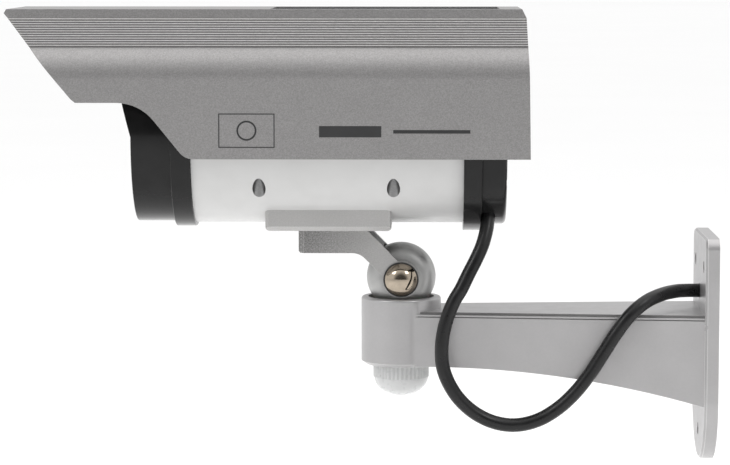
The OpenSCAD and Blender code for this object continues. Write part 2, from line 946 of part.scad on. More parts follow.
wall_bracket();
ball_seat();
thrust_washer();
cable_lower();
pivot_ball();
clamp_stud();
clamp_knob();
knob_insert();
sun_visor();
visor_screws();
solar_backing();
solar_cells();
panel_glass();
barrel();
front_hood();
window_bezel();
front_window();
window_gasket();
led_board();
ir_leds();
status_led();
lens_housing();
lens_glass();
lens_ring();
sensor_board();
inner_sled();
battery_holder();
battery_cells();
battery_contacts();
control_board();
board_parts();
solar_wires();
led_wires();
battery_wires();
rear_flange();
cap_gasket();
rear_cap();
cap_screws();
cable_grommet();
cable_upper();
saddle_plate();
mount_screws();
foot_bracket();
fork_liner();
pivot_bolt();
pivot_washers();
pivot_nut();
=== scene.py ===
import math
import random

import bmesh
import bpy
from mathutils import Matrix, Vector


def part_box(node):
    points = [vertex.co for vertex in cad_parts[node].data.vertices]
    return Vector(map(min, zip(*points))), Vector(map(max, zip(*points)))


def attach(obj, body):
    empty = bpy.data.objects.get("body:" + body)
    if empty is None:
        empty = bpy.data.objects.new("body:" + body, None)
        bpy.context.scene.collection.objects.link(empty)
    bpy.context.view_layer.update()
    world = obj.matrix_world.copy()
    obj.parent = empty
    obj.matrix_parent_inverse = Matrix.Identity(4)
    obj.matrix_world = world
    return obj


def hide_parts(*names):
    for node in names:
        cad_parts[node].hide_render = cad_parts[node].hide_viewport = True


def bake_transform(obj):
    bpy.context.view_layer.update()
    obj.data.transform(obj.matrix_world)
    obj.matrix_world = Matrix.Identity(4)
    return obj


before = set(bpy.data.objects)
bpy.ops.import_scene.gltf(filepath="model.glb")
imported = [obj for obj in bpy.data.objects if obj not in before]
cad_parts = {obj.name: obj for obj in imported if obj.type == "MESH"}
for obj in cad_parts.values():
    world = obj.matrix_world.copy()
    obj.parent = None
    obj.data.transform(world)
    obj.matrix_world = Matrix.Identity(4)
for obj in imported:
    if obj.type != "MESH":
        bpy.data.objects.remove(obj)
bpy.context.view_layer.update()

# The looks of a solar-powered security camera on its wall bracket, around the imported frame.
# Lengths are in metres. X runs into the wall, Y across the arm and Z is up. The security camera faces -X.

MM = 0.001
BARREL_Z = 75 * MM
BALL = Vector((-109.5, 0, 24.3)) * MM
AXIS_X = Vector((1, 0, 0))
AXIS_Y = Vector((0, 1, 0))
UP = Vector((0, 0, 1))


def new_object(name, data):
    obj = bpy.data.objects.new(name, data)
    bpy.context.scene.collection.objects.link(obj)
    return obj


# Camera

def make_camera():
    data = bpy.data.cameras.new("camera")
    data.sensor_width = 36
    data.lens = 140.4
    data.clip_start = 0.05
    data.clip_end = 60
    camera = new_object("camera", data)
    camera.location = (-0.1021, -0.9954, 0.138)
    camera.rotation_euler = (math.radians(84.36), 0, math.radians(1.16))
    bpy.context.scene.camera = camera


make_camera()


# The cable, as two pieces that join below the rear cap. The points are those of part.scad.

CABLE_R = 2.4 * MM
CABLE_SIDES = 28
CABLE_STEP = 1.2 * MM
UPPER_ROUTE = [
    (-79.4, -9.2, 57.8),
    (-79.4, -12.0, 52.5),
    (-79.4, -14.8, 47.2),
    (-80.0, -17.4, 42.4),
    (-81.5, -19.8, 37.2),
    (-83.7, -21.4, 32.4),
    (-85.8, -22.4, 28.4),
    (-87.0, -23.0, 26.0),
]
LOWER_ROUTE = [
    (-87.0, -23.0, 26.0),
    (-88.8, -23.9, 22.4),
    (-91.2, -24.4, 18.4),
    (-93.4, -24.9, 13.0),
    (-94.9, -25.0, 7.0),
    (-95.4, -25.0, 1.0),
    (-94.8, -24.8, -5.0),
    (-92.4, -24.4, -11.0),
    (-88.6, -23.8, -16.4),
    (-83.2, -23.2, -21.0),
    (-76.6, -22.8, -24.0),
    (-69.4, -22.6, -24.8),
    (-62.0, -22.6, -23.0),
    (-55.2, -22.7, -18.9),
    (-49.2, -22.9, -13.2),
    (-44.2, -23.2, -6.6),
    (-39.8, -23.4, 0.4),
    (-35.4, -23.4, 7.4),
    (-30.6, -22.8, 13.6),
    (-25.2, -20.2, 17.8),
    (-19.4, -15.2, 19.8),
    (-13.8, -8.4, 20.2),
    (-9.4, -2.8, 19.8),
    (-5.2, 0, 19.5),
    (0, 0, 19.5),
]


def from_bmesh(name, bm):
    mesh = bpy.data.meshes.new(name)
    bm.to_mesh(mesh)
    bm.free()
    return new_object(name, mesh)


def between(before, a, b, after, t):
    """A point of the smooth curve from a to b, which also heads the way its neighbours lie."""
    return 0.5 * (
        2 * a
        + (b - before) * t
        + (2 * before - 5 * a + 4 * b - after) * t ** 2
        + (3 * a - before - 3 * b + after) * t ** 3
    )


def smooth_line(points, step):
    """Points about a step apart on a smooth curve through the given ones, and where each one is."""
    line = []
    places = []
    last = len(points) - 1
    for i in range(last):
        before = points[i - 1] if i else 2 * points[0] - points[1]
        after = points[i + 2] if i + 2 <= last else 2 * points[last] - points[last - 1]
        count = max(2, round((points[i + 1] - points[i]).length / step))
        places.append(len(line))
        line += [between(before, points[i], points[i + 1], after, k / count) for k in range(count)]
    places.append(len(line))
    line.append(points[last])
    return line, places


def rings_along(line, radius, sides):
    """A ring of points square to the line at each of its points, turning as little as it can."""
    rings = []
    side = AXIS_Y
    for i, point in enumerate(line):
        along = (line[min(i + 1, len(line) - 1)] - line[max(i - 1, 0)]).normalized()
        side = (side - side.dot(along) * along).normalized()
        up = along.cross(side)
        turns = [2 * math.pi * k / sides for k in range(sides)]
        rings.append([point + radius * (math.cos(a) * side + math.sin(a) * up) for a in turns])
    return rings


def tube(name, rings):
    """A closed tube through the rings, with flat ends."""
    bm = bmesh.new()
    loops = [[bm.verts.new(p) for p in ring] for ring in rings]
    sides = len(rings[0])
    for a, b in zip(loops, loops[1:]):
        for k in range(sides):
            face = bm.faces.new((a[k], a[(k + 1) % sides], b[(k + 1) % sides], b[k]))
            face.smooth = True
    bm.faces.new(loops[0])
    bm.faces.new(loops[-1])
    bmesh.ops.recalc_face_normals(bm, faces=bm.faces)
    for edge in bm.edges:
        edge.smooth = edge.calc_face_angle(0) < math.radians(60)
    return from_bmesh(name, bm)


def make_cable():
    route = [Vector(p) * MM for p in UPPER_ROUTE + LOWER_ROUTE[1:]]
    line, places = smooth_line(route, CABLE_STEP)
    rings = rings_along(line, CABLE_R, CABLE_SIDES)
    join = places[len(UPPER_ROUTE) - 1]
    upper = tube("cable_above_joint", rings[:join + 1])
    lower = tube("cable_loop", rings[join:])
    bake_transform(upper)
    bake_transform(lower)
    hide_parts("cable_upper")
    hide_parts("cable_lower")
    return {upper: "cable_black", lower: "cable_black"}


piece_slots = make_cable()


# Materials

class Finish:
    """A material whose colour, roughness and relief come from nodes placed in the row frame."""

    def __init__(self, name, colour, roughness, metallic=0.0, **constants):
        self.name = name
        self.material = bpy.data.materials.new("look_" + name)
        self.material.use_nodes = True
        tree = self.material.node_tree
        self.nodes = tree.nodes
        self.links = tree.links
        self.shader = self.nodes["Principled BSDF"]
        self.colour = colour
        self.set(metallic=metallic, roughness=roughness, base_color=(*colour, 1), **constants)
        self.place = self.nodes.new("ShaderNodeTexCoord").outputs["Object"]

    def set(self, **constants):
        for key, value in constants.items():
            name = key.replace("_", " ").title().replace("Ior", "IOR")
            self.shader.inputs[name].default_value = value

    def join(self, value, socket):
        self.links.new(value, self.shader.inputs[socket])

    def noise(self, size, detail=3.0, rough=0.5):
        """Soft noise whose spots are about size metres across."""
        node = self.nodes.new("ShaderNodeTexNoise")
        node.inputs["Scale"].default_value = 1 / size
        node.inputs["Detail"].default_value = detail
        node.inputs["Roughness"].default_value = rough
        self.links.new(self.place, node.inputs["Vector"])
        return node.outputs["Fac"]

    def flakes(self, size):
        """A different level on each cell of about size metres."""
        node = self.nodes.new("ShaderNodeTexVoronoi")
        node.inputs["Scale"].default_value = 1 / size
        self.links.new(self.place, node.inputs["Vector"])
        split = self.nodes.new("ShaderNodeSeparateColor")
        self.links.new(node.outputs["Color"], split.inputs["Color"])
        return split.outputs["Red"]

    def axis_value(self, axis):
        split = self.nodes.new("ShaderNodeSeparateXYZ")
        self.links.new(self.place, split.inputs["Vector"])
        return split.outputs[axis]

    def stripes(self, axis, pitch, share):
        """1 on a stripe that takes up a share of each pitch along an axis, and 0 elsewhere."""
        phase = self.maths("DIVIDE", self.axis_value(axis), pitch)
        return self.maths("LESS_THAN", self.maths("FRACT", phase), share)

    def blend_values(self, share, a, b):
        """a where the share is 0, and b where it is 1."""
        part = self.maths("MULTIPLY", share, self.maths("SUBTRACT", b, a))
        return self.maths("ADD", a, part)

    def tint(self, level):
        """Multiplies the base colour by a level."""
        scale = self.nodes.new("ShaderNodeVectorMath")
        scale.operation = "SCALE"
        scale.inputs["Vector"].default_value = self.colour
        self.links.new(level, scale.inputs["Scale"])
        self.join(scale.outputs["Vector"], "Base Color")

    def maths(self, operation, a, b=0.0):
        node = self.nodes.new("ShaderNodeMath")
        node.operation = operation
        for socket, value in zip(node.inputs, (a, b)):
            if isinstance(value, (int, float)):
                socket.default_value = value
            else:
                self.links.new(value, socket)
        return node.outputs["Value"]

    def spread(self, value, low, high, start=0.3, end=0.7):
        """The value's stretch from start to end, laid over low to high."""
        node = self.nodes.new("ShaderNodeMapRange")
        settings = {"From Min": start, "From Max": end, "To Min": low, "To Max": high}
        for key, number in settings.items():
            node.inputs[key].default_value = number
        self.links.new(value, node.inputs["Value"])
        return node.outputs["Result"]

    def mix(self, share, a, b):
        node = self.nodes.new("ShaderNodeMix")
        node.data_type = "RGBA"
        self.links.new(share, node.inputs["Factor"])
        for socket, value in ((node.inputs[6], a), (node.inputs[7], b)):
            if isinstance(value, tuple):
                socket.default_value = (*value, 1)
            else:
                self.links.new(value, socket)
        return node.outputs[2]

    def shade(self, share, colour, low, high):
        """The colour times low to high, by a value from 0 to 1."""
        return self.mix(share, tuple(low * c for c in colour), tuple(high * c for c in colour))

    def relief(self, *layers):
        """Bumps from pairs of height and depth, in metres, one over another."""
        normal = None
        for height, depth in layers:
            node = self.nodes.new("ShaderNodeBump")
            node.inputs["Distance"].default_value = depth
            self.links.new(height, node.inputs["Height"])
            if normal is not None:
                self.links.new(normal, node.inputs["Normal"])
            normal = node.outputs["Normal"]
        self.join(normal, "Normal")


def visor_paint(name="visor_paint", colour=(0.262, 0.257, 0.256), metallic=0.5):
    f = Finish(name, colour, 0.42, metallic)
    flecks = f.spread(f.flakes(0.3 * MM), 0, 1, 0.0, 1.0)
    cloud = f.spread(f.noise(14 * MM), 0, 1)
    tone = f.mix(cloud, f.shade(flecks, f.colour, 0.86, 1.14), f.shade(flecks, f.colour, 0.89, 1.18))
    f.join(tone, "Base Color")
    f.join(f.spread(f.flakes(0.35 * MM), 0.35, 0.46, 0.0, 1.0), "Roughness")
    f.relief((f.noise(0.5 * MM, 2), 0.006 * MM), (f.noise(6 * MM, 1), 0.02 * MM))
    return f


def silver_paint(name, colour, speck, contrast, depth, metallic=0.5, rough=0.36):
    """A sprayed silver with specks of a size, a contrast and a depth."""
    f = Finish(name, colour, rough, metallic)
    flecks = f.spread(f.noise(speck, 2), 1 - contrast, 1 + contrast)
    cloud = f.spread(f.noise(12 * MM), 0.97, 1.03)
    f.tint(f.maths("MULTIPLY", flecks, cloud))
    f.join(f.spread(f.noise(4 * MM), rough - 0.03, rough + 0.04), "Roughness")
    f.relief((f.noise(speck, 2), depth))
    return f


def cast_grain_and_shade():
    """The foot's coarse cast surface, with stronger grain and painted shade that darken it towards its front
    end, below the saddle.
    """
    f = Finish("foot_silver", (0.375, 0.37, 0.366), 0.42, 0.4)
    # Painted shade, darkest at the foot's front end and gone from X -118 mm back
    along = f.spread(f.axis_value("X"), 0, 1, -0.146, -0.118)
    grain = f.spread(f.noise(0.5 * MM, 2, 0.7), 0, 1, 0.35, 0.65)
    shaded_grain = f.spread(grain, 0.25, 0.85, 0, 1)
    unshaded_grain = f.spread(grain, 0.93, 1.06, 0, 1)
    f.tint(f.blend_values(along, shaded_grain, unshaded_grain))
    f.join(f.spread(f.noise(2.5 * MM), 0.36, 0.5), "Roughness")
    f.relief((f.noise(0.55 * MM, 2, 0.7), 0.02 * MM))
    return f


def satin_barrel():
    f = Finish("barrel_paint", (0.55, 0.55, 0.546), 0.3, 0.15)
    f.join(f.shade(f.spread(f.noise(8 * MM), 0, 1), f.colour, 0.975, 1.02), "Base Color")
    f.join(f.spread(f.noise(3 * MM), 0.29, 0.39), "Roughness")
    f.relief((f.noise(0.9 * MM, 2), 0.006 * MM), (f.noise(5 * MM, 1), 0.025 * MM))
    return f


def moulding(name, colour, rough, size=1.2 * MM, depth=0.006 * MM, **constants):
    """A moulded plastic or rubber, with a little grain and uneven gloss."""
    f = Finish(name, colour, rough, **constants)
    f.join(f.shade(f.spread(f.noise(6 * MM), 0, 1), colour, 0.85, 1.15), "Base Color")
    f.join(f.spread(f.noise(2 * MM), rough * 0.85, rough * 1.2), "Roughness")
    f.relief((f.noise(size, 3), depth))
    return f


def metal(name, colour, rough, size=0.8 * MM, depth=0.004 * MM):
    """A bare or plated metal, with fine marks."""
    f = Finish(name, colour, rough, 1.0)
    marks = f.noise(size, 4, 0.6)
    f.join(f.shade(f.spread(marks, 0, 1), colour, 0.85, 1.08), "Base Color")
    f.join(f.spread(f.noise(size * 2), rough * 0.75, rough * 1.3), "Roughness")
    f.relief((marks, depth))
    return f


def satin_ball():
    f = Finish("ball_silver", (0.40, 0.40, 0.395), 0.42, 0.75)
    f.tint(f.spread(f.noise(3 * MM), 0.95, 1.05))
    f.join(f.spread(f.noise(5 * MM), 0.4, 0.46), "Roughness")
    f.relief((f.noise(0.5 * MM, 2), 0.0015 * MM))
    return f


def smoked(name, colour, alpha, rough=0.05):
    f = Finish(name, colour, rough, alpha=alpha, specular_ior_level=1.0)
    f.join(f.spread(f.noise(9 * MM), rough * 0.7, rough * 1.8), "Roughness")
    f.join(f.shade(f.spread(f.noise(20 * MM), 0, 1), colour, 0.85, 1.15), "Base Color")
    f.relief((f.noise(14 * MM, 1), 0.01 * MM))
    return f


def solar_cell():
    f = Finish("solar_cell", (0.018, 0.028, 0.085), 0.22, 0.2, coat_weight=0.4, coat_roughness=0.08)
    crystal = f.shade(f.spread(f.flakes(3.5 * MM), 0, 1, 0, 1), f.colour, 0.9, 1.12)
    fingers = f.stripes("Y", 1.5 * MM, 0.07)
    f.join(f.mix(fingers, crystal, (0.16, 0.17, 0.2)), "Base Color")
    f.join(f.spread(f.noise(2 * MM), 0.17, 0.3), "Roughness")
    return f


def circuit_board():
    f = Finish("board_green", (0.02, 0.11, 0.05), 0.3, coat_weight=0.5, coat_roughness=0.12)
    lines = f.maths("MULTIPLY", f.stripes("Z", 2.1 * MM, 0.22), f.stripes("Y", 5.3 * MM, 0.8))
    ground = f.shade(f.spread(f.noise(4 * MM), 0, 1), f.colour, 0.8, 1.2)
    f.join(f.mix(lines, ground, (0.05, 0.22, 0.10)), "Base Color")
    f.join(f.spread(f.noise(1.5 * MM), 0.24, 0.38), "Roughness")
    f.relief((lines, 0.02 * MM))
    return f


def frosted(name, colour):
    f = Finish(name, colour, 0.3, subsurface_weight=0.25, subsurface_scale=0.8 * MM,
               coat_weight=0.3, coat_roughness=0.15)
    f.shader.inputs["Subsurface Radius"].default_value = (1, 1, 1)
    f.tint(f.spread(f.noise(5 * MM), 0.97, 1.03))
    f.join(f.spread(f.noise(2 * MM), 0.25, 0.34), "Roughness")
    f.relief((f.noise(0.9 * MM, 1), 0.001 * MM))
    return f


def cable_skin():
    f = Finish("cable_black", (0.009, 0.009, 0.0094), 0.27, specular_ior_level=0.3)
    f.join(f.shade(f.spread(f.noise(7 * MM), 0, 1), f.colour, 0.8, 1.3), "Base Color")
    f.join(f.spread(f.noise(3 * MM), 0.24, 0.38), "Roughness")
    f.relief((f.noise(0.6 * MM, 2), 0.006 * MM), (f.noise(4 * MM, 1), 0.03 * MM))
    return f


def clear_led(name, colour):
    f = Finish(name, colour, 0.06, transmission_weight=0.7, ior=1.5)
    f.join(f.shade(f.spread(f.noise(1 * MM), 0, 1), colour, 0.9, 1.1), "Base Color")
    f.join(f.spread(f.noise(0.8 * MM), 0.04, 0.1), "Roughness")
    return f


def wrapped_cell():
    f = Finish("cell_wrap", (0.05, 0.24, 0.12), 0.3)
    bands = f.stripes("X", 25 * MM, 0.3)
    tone = f.shade(f.spread(f.noise(5 * MM), 0, 1), f.colour, 0.85, 1.15)
    f.join(f.mix(bands, tone, (0.55, 0.56, 0.55)), "Base Color")
    f.join(f.spread(f.noise(2 * MM), 0.22, 0.4), "Roughness")
    return f


FINISHES = {
    f.name: f.material
    for f in (
        visor_paint(),
        # A lighter copy of the visor paint, a painted highlight on its rounded edges
        visor_paint("visor_edge_highlight", (0.50, 0.495, 0.49), 0.4),
        # Lighter and darker copies of the visor paint: a painted highlight on the ribs' tops and painted
        # shade below them
        visor_paint("visor_rib_painted_highlight", (0.72, 0.71, 0.70), 0.1),
        visor_paint("visor_rib_painted_shade", (0.15, 0.147, 0.146), 0.3),
        satin_barrel(),
        silver_paint("bracket_silver", (0.395, 0.389, 0.392), 0.8 * MM, 0.015, 0.001 * MM, 0.5, 0.33),
        # A lighter copy of the bracket paint, a painted highlight on its rounded edges
        silver_paint("bracket_edge_highlight", (0.66, 0.655, 0.65), 0.8 * MM, 0.02, 0.001 * MM, 0.5, 0.3),
        # A darker copy of the bracket paint, painted shade under the arm's lip
        silver_paint("bracket_lip_painted_shade", (0.16, 0.158, 0.158), 0.8 * MM, 0.05, 0.001 * MM, 0.3, 0.5),
        silver_paint("saddle_silver", (0.42, 0.415, 0.41), 0.5 * MM, 0.06, 0.008 * MM),
        # A lighter copy of the saddle paint, a painted highlight on its rounded edges
        silver_paint("saddle_edge_highlight", (0.90, 0.895, 0.88), 0.5 * MM, 0.04, 0.004 * MM, 0.1),
        cast_grain_and_shade(),
        # A lighter copy of the paint for the foot, a painted highlight on its rounded edges
        silver_paint("foot_edge_highlight", (0.60, 0.595, 0.58), 0.6 * MM, 0.05, 0.004 * MM),
        moulding("black_gloss", (0.009, 0.009, 0.0092), 0.17, specular_ior_level=0.23),
        # Black for the fork liner, a strip of painted shade between the fork's cheeks
        moulding("liner_black", (0.012, 0.012, 0.012), 0.5),
        moulding("seal_rubber", (0.016, 0.016, 0.016), 0.55, 0.6 * MM, 0.01 * MM),
        moulding("lens_black", (0.01, 0.01, 0.01), 0.5),
        moulding("sled_grey", (0.10, 0.105, 0.105), 0.5),
        moulding("chip_black", (0.02, 0.02, 0.02), 0.45, 0.3 * MM),
        moulding("wire_red", (0.42, 0.03, 0.03), 0.35),
        moulding("wire_yellow", (0.62, 0.52, 0.06), 0.35),
        moulding("nylon", (0.72, 0.70, 0.65), 0.45, subsurface_weight=0.2, subsurface_scale=1.5 * MM),
        moulding("panel_back", (0.03, 0.05, 0.04), 0.5),
        moulding("print_black", (0.02, 0.02, 0.021), 0.4, 0.3 * MM, 0.003 * MM),
        metal("zinc_steel", (0.56, 0.56, 0.55), 0.3),
        # Bare metal for the screw pockets, darker than the metal itself as painted shade
        metal("drilled_metal_and_shade", (0.29, 0.29, 0.29), 0.35),
        metal("brass_insert", (0.62, 0.45, 0.20), 0.28),
        metal("contact_metal", (0.62, 0.60, 0.54), 0.25),
        metal("chrome_bolt", (0.38, 0.325, 0.26), 0.09, size=2 * MM, depth=0.002 * MM),
        satin_ball(),
        frosted("knob_clear", (0.54, 0.545, 0.545)),
        # A darker copy of the knob's plastic, painted shade in the valleys between its ribs
        frosted("knob_valley_shade", (0.23, 0.235, 0.235)),
        cable_skin(),
        solar_cell(),
        circuit_board(),
        wrapped_cell(),
        clear_led("led_clear", (0.80, 0.80, 0.90)),
        clear_led("led_red", (0.75, 0.05, 0.03)),
        smoked("window_tint", (0.012, 0.013, 0.016), 0.62),
        smoked("panel_cover", (0.05, 0.06, 0.085), 0.03),
        smoked("lens_coated", (0.05, 0.05, 0.16), 0.75, 0.03),
    )
}

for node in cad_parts.values():
    node.material_slots[0].material = FINISHES[node.data.materials[0].name]


# Pieces made from CAD nodes, with their sharp corners worn round

ROUNDED_FROM = math.radians(32)    # an edge that turns by more than this gets rounded
CREASED_FROM = math.radians(28)    # and one that still turns by this afterwards shows as a crease


def sharp_edges(bm, wanted):
    """Edges that turn enough to be rounded, where wanted allows their middle."""
    sharp = [e for e in bm.edges if len(e.link_faces) == 2 and e.calc_face_angle() > ROUNDED_FROM]
    return [e for e in sharp if wanted((e.verts[0].co + e.verts[1].co) / 2)]


def worked_copy(node, name, width, fine, fine_width):
    """A copy of a node with its sharp corners rounded, less where fine says so.

    The rounded faces get material index 1.
    """
    bm = bmesh.new()
    bm.from_mesh(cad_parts[node].data)
    bmesh.ops.remove_doubles(bm, verts=bm.verts, dist=2e-6)
    bmesh.ops.dissolve_limit(bm, angle_limit=math.radians(0.6), verts=bm.verts, edges=bm.edges)
    fine = fine or (lambda c: False)
    for amount, wanted in ((width, lambda c: not fine(c)), (fine_width, fine)):
        edges = sharp_edges(bm, wanted)
        if amount and edges:
            made = bmesh.ops.bevel(bm, geom=edges, offset=amount, segments=3, profile=0.5,
                                   affect="EDGES", clamp_overlap=True)
            for face in made["faces"]:
                face.material_index = 1
    for face in bm.faces:
        face.smooth = True
    for edge in bm.edges:
        edge.smooth = edge.calc_face_angle(0) < CREASED_FROM
    piece = from_bmesh(name, bm)
    weighted = piece.modifiers.new("even_normals", "WEIGHTED_NORMAL")
    weighted.keep_sharp = True
    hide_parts(node)
    return piece


def add(piece, body, slot):
    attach(piece, body)
    piece_slots[piece] = slot
    return piece


repainted = []    # piece, finish and face numbers, for faces that don't have their piece's own finish


def recolour(piece, finish, chosen):
    """Gives another finish to the faces that chosen picks by their middle and their normal."""
    repainted.append((piece, finish, [f.index for f in piece.data.polygons if chosen(f.center, f.normal)]))


def distance_from(point, x, y):
    return math.hypot(point.x - x, point.y - y)


VISOR_SCREW_X = (-158 * MM, -112 * MM)
VISOR_SCREW_Y = 25.9 * MM
RIB_LOW = 105.3 * MM
RIB_HIGH = 115.3 * MM
LIP_Z = 12.25 * MM
ARM_FRONT_X = -103 * MM
ARM_GROOVE_LOW = 11.3 * MM
ARM_GROOVE_HIGH = 11.7 * MM
KNOB_RIB_BASE = -11.15 * MM
KNOB_RIB_TOP = -6.8 * MM
KNOB_VALLEY_R = 9.58 * MM
SCREW_POCKET_R = 2.3 * MM
RIB_INNER_Y = 24.3 * MM
PLATE_FRONT_X = -4.5 * MM
LIP_BAND_LOW = 11 * MM
LIP_BAND_HIGH = 13.4 * MM
BARREL_SEAT_LOW = 44 * MM
CAP_DETAIL_R = 31 * MM


def in_ribs(c):
    return RIB_LOW < c.z < RIB_HIGH and abs(c.y) > RIB_INNER_Y


def by_arm_lip(c):
    return LIP_BAND_LOW < c.z < LIP_BAND_HIGH and c.x < PLATE_FRONT_X


def in_barrel_seat(c):
    return c.z > BARREL_SEAT_LOW


def in_screw_pocket(c):
    return any(distance_from(c, x, y) < SCREW_POCKET_R
               for x in VISOR_SCREW_X for y in (-VISOR_SCREW_Y, VISOR_SCREW_Y))


def in_cap_details(c):
    return distance_from(Vector((c.y, c.z)), 0, BARREL_Z) < CAP_DETAIL_R


WORKED = [
    # node, piece, body, slot, rounding width, and where the rounding is finer and how wide
    ("wall_bracket", "bracket_casting", "bracket", "bracket_silver", 0.4 * MM, by_arm_lip, 0.12 * MM),
    ("sun_visor", "visor_shell", "head", "visor_paint", 0.25 * MM, in_ribs, 0.04 * MM),
    ("barrel", "barrel_tube", "head", "barrel_paint", 0.2 * MM, in_screw_pocket, 0.1 * MM),
    ("front_hood", "hood_moulding", "head", "black_gloss", 0.4 * MM, None, 0),
    ("window_bezel", "bezel_ring", "head", "black_gloss", 0.3 * MM, None, 0),
    ("rear_flange", "flange_ring", "head", "black_gloss", 0.4 * MM, None, 0),
    ("rear_cap", "cap_moulding", "head", "black_gloss", 0.3 * MM, in_cap_details, 0.2 * MM),
    ("saddle_plate", "saddle_casting", "head", "saddle_silver", 0.7 * MM, in_barrel_seat, 0.1 * MM),
    ("foot_bracket", "foot_casting", "head", "foot_silver", 0.35 * MM, None, 0),
    # A black strip of painted shade between the fork's cheeks
    ("fork_liner", "fork_shade_strip", "head", "liner_black", 0.3 * MM, None, 0),
    ("pivot_nut", "hex_nut", "head", "zinc_steel", 0.35 * MM, None, 0),
    ("clamp_knob", "knob_moulding", "knob", "knob_clear", 0.12 * MM, None, 0),
]
# Lighter finishes for the rounded edges of these nodes: a painted highlight along each edge
EDGES = {"wall_bracket": "bracket_edge_highlight", "sun_visor": "visor_edge_highlight", "saddle_plate": "saddle_edge_highlight",
         "foot_bracket": "foot_edge_highlight"}
worked = {}
for node, name, body, slot, width, fine, fine_width in WORKED:
    piece = add(worked_copy(node, name, width, fine, fine_width), body, slot)
    worked[node] = piece
    rounded = [f.index for f in piece.data.polygons if f.material_index]
    repainted.append((piece, EDGES.get(node, slot), rounded))

# Painted light and shade on the visor's ribs: a lighter paint on their tops, which light from above catches,
# and a darker one below them, where it doesn't reach
recolour(worked["sun_visor"], "visor_rib_painted_shade", lambda c, n: in_ribs(c) and n.z < 0.15 and abs(n.x) < 0.5)
recolour(worked["sun_visor"], "visor_rib_painted_highlight", lambda c, n: in_ribs(c) and n.z > 0.6)

# Painted shade in the groove under the arm's lip and on the step from the lip up to the deck
recolour(worked["wall_bracket"], "bracket_lip_painted_shade",
         lambda c, n: by_arm_lip(c) and ARM_FRONT_X < c.x and abs(n.z) < 0.3 and abs(n.x) < 0.3
         and (c.z > LIP_Z + 0.1 * MM or ARM_GROOVE_LOW < c.z < ARM_GROOVE_HIGH))

# The drilled pockets that hold the visor's screws: bare metal, with painted shade making it darker
recolour(worked["barrel"], "drilled_metal_and_shade", lambda c, n: in_screw_pocket(c))

# The hood's inside, which is moulded matt
recolour(worked["front_hood"], "lens_black",
         lambda c, n: n.y * c.y + n.z * (c.z - BARREL_Z) < -0.001 and abs(n.x) < 0.7)

# Painted shade in the valleys between the knob's ribs
recolour(worked["clamp_knob"], "knob_valley_shade",
         lambda c, n: abs(n.z) < 0.3 and distance_from(c, BALL.x, 0) < KNOB_VALLEY_R
         and KNOB_RIB_BASE < c.z < KNOB_RIB_TOP)


# Turned pieces

def lathe(name, profile, place, axis, sides):
    """A solid of revolution. The profile's points are distances from the axis and heights along it."""
    bm = bmesh.new()
    turn = axis.to_track_quat("Z", "Y").to_matrix()
    rings = []
    for radius, height in profile:
        angles = [2 * math.pi * k / sides for k in range(sides)] if radius else [0]
        points = [Vector((radius * math.cos(a), radius * math.sin(a), height)) for a in angles]
        rings.append([bm.verts.new(place + turn @ p) for p in points])
    for a, b in zip(rings, rings[1:]):
        for k in range(max(len(a), len(b))):
            corners = [a[k % len(a)], a[(k + 1) % len(a)], b[(k + 1) % len(b)], b[k % len(b)]]
            bm.faces.new(dict.fromkeys(corners))
    for ring in (rings[0], rings[-1]):
        if len(ring) > 1:
            bm.faces.new(ring)
    bmesh.ops.recalc_face_normals(bm, faces=bm.faces)
    for face in bm.faces:
        face.smooth = True
    for edge in bm.edges:
        edge.smooth = edge.calc_face_angle(0) < math.radians(35)
    return from_bmesh(name, bm)


def arc(cx, cy, radius, start, end, count):
    """Points on an arc, with angles in degrees."""
    turns = [math.radians(start + (end - start) * i / count) for i in range(count + 1)]
    return [(cx + radius * math.cos(a), cy + radius * math.sin(a)) for a in turns]


def make_ball():
    """The ball, whose two flats for the fork run smoothly into its round surface."""
    radius = 12.1 * MM
    flat = 7.9 * MM
    blend = 5 * MM
    centre = flat - blend
    reach = math.sqrt((radius - blend) ** 2 - centre ** 2)
    lean = math.degrees(math.atan2(centre, reach))
    side = arc(0, 0, radius, -lean, lean, 16)
    upper = arc(reach, centre, blend, lean, 90, 14)
    profile = [(0, -flat)] + [(r, -y) for r, y in reversed(upper)] + side[1:-1] + upper + [(0, flat)]
    ball = lathe("ball_turned", profile, BALL, AXIS_Y, 96)
    bm = bmesh.new()
    bm.from_mesh(ball.data)
    foot = Vector((0, 0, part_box("pivot_ball")[0].z))
    everything = bm.verts[:] + bm.edges[:] + bm.faces[:]
    cut = bmesh.ops.bisect_plane(bm, geom=everything, plane_co=foot, plane_no=(0, 0, 1), clear_inner=True)
    bmesh.ops.holes_fill(bm, edges=[e for e in cut["geom_cut"] if isinstance(e, bmesh.types.BMEdge)])
    bm.to_mesh(ball.data)
    bm.free()
    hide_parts("pivot_ball")
    add(ball, "knuckle", "ball_silver")


def carve(piece, cutter):
    """Takes the cutter out of the piece."""
    cut = piece.modifiers.new("cut", "BOOLEAN")
    cut.object = cutter
    cut.solver = "EXACT"
    done = piece.evaluated_get(bpy.context.evaluated_depsgraph_get())
    piece.data = bpy.data.meshes.new_from_object(done)
    piece.modifiers.clear()
    bpy.data.objects.remove(cutter)


